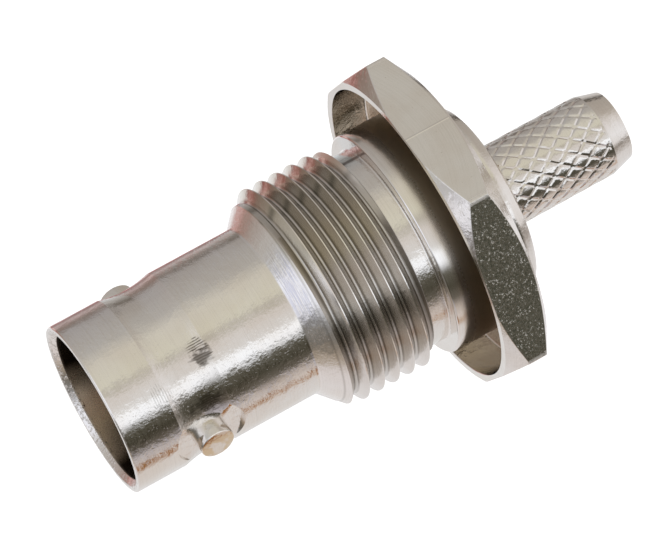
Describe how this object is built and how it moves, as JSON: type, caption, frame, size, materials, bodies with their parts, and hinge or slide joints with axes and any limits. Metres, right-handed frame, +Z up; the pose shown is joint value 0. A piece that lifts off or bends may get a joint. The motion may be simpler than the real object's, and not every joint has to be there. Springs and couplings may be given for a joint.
{
  "type": "bnc connector",
  "caption": "Bulkhead coaxial jack with bayonet lugs, a panel thread, a recessed hexagon and a knurled crimp stem for a thin cable.",
  "frame": {"origin": "centre of the plane in which the hexagon's front ring seats on the panel, on the connector's axis", "axes": "+Y along the axis towards the cable end, the mouth faces -Y, the two bayonet lugs point to +X and -X, +Z up"},
  "size_m": [0.0202, 0.0318, 0.018],
  "materials": {
    "nickel": "nickel plated, fine turning marks",
    "nickel_stem": "nickel plated, knurled",
    "ptfe": "white, waxy",
    "ptfe_rear": "white, waxy",
    "gold": "thin gold plating, polished"
  },
  "bodies": {
    "root": {"shell": "nickel", "crimp_stem": "nickel_stem", "front_insulator": "ptfe", "rear_insulator": "ptfe_rear", "centre_contact": "gold"}
  },
  "joints": []
}
